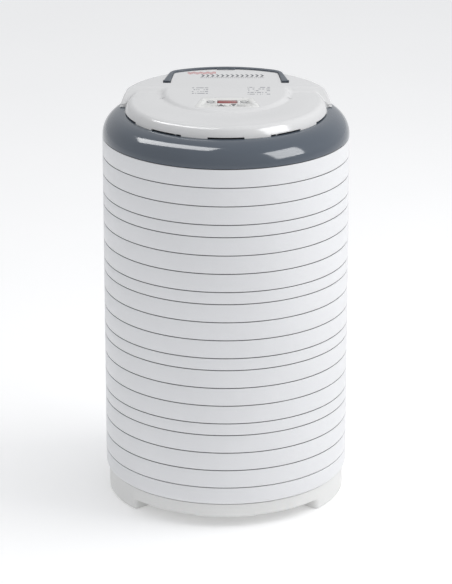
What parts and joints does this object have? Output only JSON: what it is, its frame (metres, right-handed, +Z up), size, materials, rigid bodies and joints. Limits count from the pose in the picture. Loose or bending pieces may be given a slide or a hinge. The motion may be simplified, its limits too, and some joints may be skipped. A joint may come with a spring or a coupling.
{
  "type": "stacking tray dryer",
  "caption": "Round stacking-tray dryer: footed base, nesting white trays and a power head with fan, heater, display, keys and a folding carry handle.",
  "frame": {"origin": "on the floor under the centre of the round base", "axes": "+Z up along the axis of the stack; the control panel faces -Y; +X is to the right of someone facing the panel"},
  "size_m": [0.394, 0.394, 0.662],
  "materials": {
    "tray_plastic": "smooth moulded, low sheen",
    "base_plastic": "smooth moulded, low sheen",
    "ring_plastic": "polished slate grey",
    "dome_plastic": "fine pebble texture under a soft gloss",
    "panel_film": "thin printed film",
    "key_plastic": "smooth moulded",
    "display_lens": "tinted red lens",
    "handle_plastic": "satin moulded",
    "plate_plastic": "smooth moulded",
    "fan_plastic": "glass-filled nylon",
    "black_plastic": "moulded",
    "board_laminate": "solder mask over laminate",
    "mica_board": "pressed mica",
    "screw_steel": "zinc plated",
    "bracket_steel": "pressed sheet",
    "motor_metal": "cast and turned",
    "heater_wire": "resistance wire",
    "thermostat_metal": "stamped",
    "bush_brass": "sintered",
    "soft_rubber": "soft moulded"
  },
  "bodies": {
    "base": {"base_pan": "base_plastic", "foot_pads": "soft_rubber"},
    "tray_01": {"tray_01": "tray_plastic"},
    "tray_02": {"tray_02": "tray_plastic"},
    "tray_03": {"tray_03": "tray_plastic"},
    "tray_04": {"tray_04": "tray_plastic"},
    "tray_05": {"tray_05": "tray_plastic"},
    "tray_06": {"tray_06": "tray_plastic"},
    "tray_07": {"tray_07": "tray_plastic"},
    "tray_08": {"tray_08": "tray_plastic"},
    "tray_09": {"tray_09": "tray_plastic"},
    "tray_10": {"tray_10": "tray_plastic"},
    "tray_11": {"tray_11": "tray_plastic"},
    "tray_12": {"tray_12": "tray_plastic"},
    "tray_13": {"tray_13": "tray_plastic"},
    "tray_14": {"tray_14": "tray_plastic"},
    "tray_15": {"tray_15": "tray_plastic"},
    "tray_16": {"tray_16": "tray_plastic"},
    "tray_17": {"tray_17": "tray_plastic"},
    "tray_18": {"tray_18": "tray_plastic"},
    "tray_19": {"tray_19": "tray_plastic"},
    "tray_20": {"tray_20": "tray_plastic"},
    "head": {"head_ring": "ring_plastic", "dome_cover": "dome_plastic", "control_overlay": "panel_film", "display_window": "display_lens", "display_module": "black_plastic", "control_board": "board_laminate", "board_screws": "screw_steel", "tact_switches": "black_plastic", "handle_pins": "screw_steel", "lower_plate": "plate_plastic", "plate_screws": "screw_steel", "dome_screws": "screw_steel", "fan_guard": "plate_plastic", "motor_bracket": "bracket_steel", "bracket_screws": "screw_steel", "motor_body": "motor_metal", "motor_bolts": "screw_steel", "shaft_bush": "bush_brass", "heater_frame": "mica_board", "heater_coil": "heater_wire", "thermostat": "thermostat_metal", "thermal_fuse": "thermostat_metal", "cord_gland": "soft_rubber"},
    "handle": {"handle": "handle_plastic"},
    "fan": {"fan_impeller": "fan_plastic", "motor_shaft": "screw_steel"},
    "mode_button": {"mode_button": "key_plastic"},
    "start_button": {"start_button": "key_plastic"},
    "up_button": {"up_button": "key_plastic"},
    "down_button": {"down_button": "key_plastic"}
  },
  "joints": [
    {"name": "tray_20_lift", "type": "slide", "parent": "base", "child": "tray_20", "axis": [0, 0, 1], "range_m": [0, 0.025]},
    {"name": "tray_19_lift", "type": "slide", "parent": "tray_20", "child": "tray_19", "axis": [0, 0, 1], "range_m": [0, 0.025]},
    {"name": "tray_18_lift", "type": "slide", "parent": "tray_19", "child": "tray_18", "axis": [0, 0, 1], "range_m": [0, 0.025]},
    {"name": "tray_17_lift", "type": "slide", "parent": "tray_18", "child": "tray_17", "axis": [0, 0, 1], "range_m": [0, 0.025]},
    {"name": "tray_16_lift", "type": "slide", "parent": "tray_17", "child": "tray_16", "axis": [0, 0, 1], "range_m": [0, 0.025]},
    {"name": "tray_15_lift", "type": "slide", "parent": "tray_16", "child": "tray_15", "axis": [0, 0, 1], "range_m": [0, 0.025]},
    {"name": "tray_14_lift", "type": "slide", "parent": "tray_15", "child": "tray_14", "axis": [0, 0, 1], "range_m": [0, 0.025]},
    {"name": "tray_13_lift", "type": "slide", "parent": "tray_14", "child": "tray_13", "axis": [0, 0, 1], "range_m": [0, 0.025]},
    {"name": "tray_12_lift", "type": "slide", "parent": "tray_13", "child": "tray_12", "axis": [0, 0, 1], "range_m": [0, 0.025]},
    {"name": "tray_11_lift", "type": "slide", "parent": "tray_12", "child": "tray_11", "axis": [0, 0, 1], "range_m": [0, 0.025]},
    {"name": "tray_10_lift", "type": "slide", "parent": "tray_11", "child": "tray_10", "axis": [0, 0, 1], "range_m": [0, 0.025]},
    {"name": "tray_09_lift", "type": "slide", "parent": "tray_10", "child": "tray_09", "axis": [0, 0, 1], "range_m": [0, 0.025]},
    {"name": "tray_08_lift", "type": "slide", "parent": "tray_09", "child": "tray_08", "axis": [0, 0, 1], "range_m": [0, 0.025]},
    {"name": "tray_07_lift", "type": "slide", "parent": "tray_08", "child": "tray_07", "axis": [0, 0, 1], "range_m": [0, 0.025]},
    {"name": "tray_06_lift", "type": "slide", "parent": "tray_07", "child": "tray_06", "axis": [0, 0, 1], "range_m": [0, 0.025]},
    {"name": "tray_05_lift", "type": "slide", "parent": "tray_06", "child": "tray_05", "axis": [0, 0, 1], "range_m": [0, 0.025]},
    {"name": "tray_04_lift", "type": "slide", "parent": "tray_05", "child": "tray_04", "axis": [0, 0, 1], "range_m": [0, 0.025]},
    {"name": "tray_03_lift", "type": "slide", "parent": "tray_04", "child": "tray_03", "axis": [0, 0, 1], "range_m": [0, 0.025]},
    {"name": "tray_02_lift", "type": "slide", "parent": "tray_03", "child": "tray_02", "axis": [0, 0, 1], "range_m": [0, 0.025]},
    {"name": "tray_01_lift", "type": "slide", "parent": "tray_02", "child": "tray_01", "axis": [0, 0, 1], "range_m": [0, 0.025]},
    {"name": "head_lift", "type": "slide", "parent": "tray_01", "child": "head", "axis": [0, 0, 1], "range_m": [0, 0.04]},
    {"name": "handle_fold", "type": "hinge", "parent": "head", "child": "handle", "pos_m": [0, 0.092, 0.657], "axis": [1, 0, 0], "range_deg": [0, 90]},
    {"name": "fan_spin", "type": "hinge", "parent": "head", "child": "fan", "pos_m": [0, 0, 0.615], "axis": [0, 0, 1], "continuous": true},
    {"name": "mode_press", "type": "slide", "parent": "head", "child": "mode_button", "axis": [0, 0.0535, -0.9986], "range_m": [0, 0.0008], "stiffness_N_per_m": 400, "springref_m": -0.001},
    {"name": "start_press", "type": "slide", "parent": "head", "child": "start_button", "axis": [0, 0.0535, -0.9986], "range_m": [0, 0.0008], "stiffness_N_per_m": 400, "springref_m": -0.001},
    {"name": "up_press", "type": "slide", "parent": "head", "child": "up_button", "axis": [0, 0.0535, -0.9986], "range_m": [0, 0.0008], "stiffness_N_per_m": 400, "springref_m": -0.001},
    {"name": "down_press", "type": "slide", "parent": "head", "child": "down_button", "axis": [0, 0.0535, -0.9986], "range_m": [0, 0.0008], "stiffness_N_per_m": 400, "springref_m": -0.001}
  ]
}
